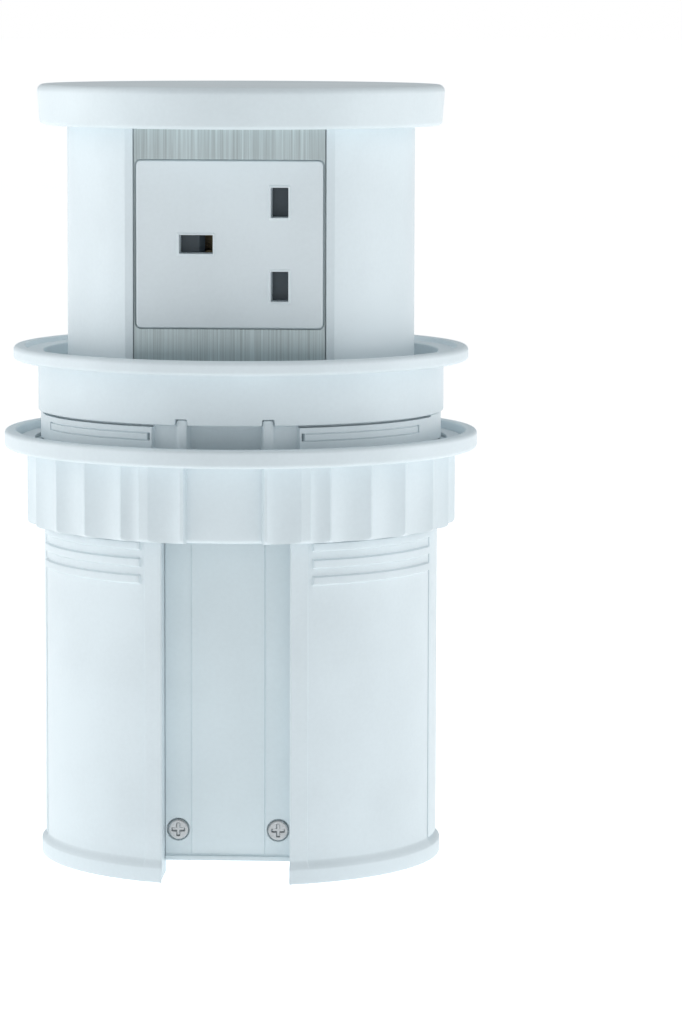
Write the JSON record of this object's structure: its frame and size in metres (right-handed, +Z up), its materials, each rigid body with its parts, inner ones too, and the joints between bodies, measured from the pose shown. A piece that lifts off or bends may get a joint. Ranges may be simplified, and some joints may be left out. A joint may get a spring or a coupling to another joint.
{
  "type": "pull-up desk power tower",
  "caption": "Round power tower that pulls up out of a worktop: capped column with socket faces, trim collar, and a tube clamped from below by a fluted lock ring.",
  "frame": {"origin": "middle of the worktop's cut-out, in the plane of the worktop's upper surface, under the collar's flange", "axes": "+Z up along the column's axis, the front socket faces -Y, +X to the right as seen from the front"},
  "size_m": [0.1296, 0.1296, 0.211],
  "materials": {
    "white_plastic": "moulded, satin",
    "tube_plastic": "moulded, satin",
    "strip_plastic": "moulded, satin",
    "panel_plastic": "moulded, satin",
    "ring_plastic": "moulded, satin",
    "cap_plastic": "moulded, fine satin",
    "cover_plastic": "moulded, smooth satin",
    "guide_plastic": "moulded, smooth",
    "grey_plastic": "moulded",
    "shutter_plastic": "moulded, smooth",
    "lead_jacket": "soft sheath",
    "brushed_aluminium": "brushed upright",
    "screw_steel": "zinc plated",
    "spring_steel": "bright wire",
    "contact_brass": "stamped",
    "seal_rubber": "moulded",
    "pad_felt": "pressed felt"
  },
  "bodies": {
    "housing": {"collar": "white_plastic", "head_ring": "white_plastic", "guide_bush": "guide_plastic", "left_shell": "tube_plastic", "right_shell": "tube_plastic", "left_side_strip": "strip_plastic", "right_side_strip": "strip_plastic", "front_channel_panel": "panel_plastic", "rear_channel_panel": "panel_plastic", "channel_panel_screws": "screw_steel", "base_plate": "panel_plastic", "base_screws": "screw_steel", "gland_body": "grey_plastic", "gland_nut": "grey_plastic", "gland_seal": "seal_rubber", "cord_clamp": "grey_plastic", "cord_clamp_screws": "screw_steel", "terminal_block": "grey_plastic", "terminal_screws": "screw_steel", "inner_lead": "lead_jacket"},
    "washer": {"slip_washer": "guide_plastic"},
    "lock_ring": {"lock_ring": "ring_plastic"},
    "column": {"cap": "cap_plastic", "cap_carrier": "panel_plastic", "cap_screws": "screw_steel", "column_left_shell": "white_plastic", "column_right_shell": "white_plastic", "column_base": "panel_plastic", "column_top_screws": "screw_steel", "column_base_screws": "screw_steel", "felt_pads": "pad_felt", "front_face_plate": "brushed_aluminium", "front_socket_cover": "cover_plastic", "front_socket_body": "grey_plastic", "front_earth_contact": "contact_brass", "front_line_contact": "contact_brass", "front_neutral_contact": "contact_brass", "front_shutter_spring": "spring_steel", "rear_face_plate": "brushed_aluminium", "rear_socket_cover": "cover_plastic", "rear_socket_body": "grey_plastic", "rear_earth_contact": "contact_brass", "rear_line_contact": "contact_brass", "rear_neutral_contact": "contact_brass", "rear_shutter_spring": "spring_steel"},
    "front_shutter": {"front_shutter": "shutter_plastic"},
    "rear_shutter": {"rear_shutter": "shutter_plastic"}
  },
  "joints": [
    {"name": "column_slide", "type": "slide", "parent": "housing", "child": "column", "axis": [0, 0, 1], "range_m": [-0.061, 0], "deforming": ["inner_lead"]},
    {"name": "front_shutter_slide", "type": "slide", "parent": "column", "child": "front_shutter", "axis": [-1, 0, 0], "range_m": [0, 0.006], "stiffness_N_per_m": 60, "springref_m": -0.002, "deforming": ["front_shutter_spring"]},
    {"name": "rear_shutter_slide", "type": "slide", "parent": "column", "child": "rear_shutter", "axis": [1, 0, 0], "range_m": [0, 0.006], "stiffness_N_per_m": 60, "springref_m": -0.002, "deforming": ["rear_shutter_spring"]},
    {"name": "washer_lift", "type": "slide", "parent": "housing", "child": "washer", "axis": [0, 0, 1], "range_m": [-0.01576, 0.00788]},
    {"name": "lock_ring_turn", "type": "hinge", "parent": "washer", "child": "lock_ring", "pos_m": [0, 0, -0.0292], "axis": [0, 0, 1], "range_deg": [-1260, 630]}
  ],
  "couplings": [
    {"joint": "washer_lift", "follows": "lock_ring_turn", "m_per_rad": 0.0007162}
  ]
}
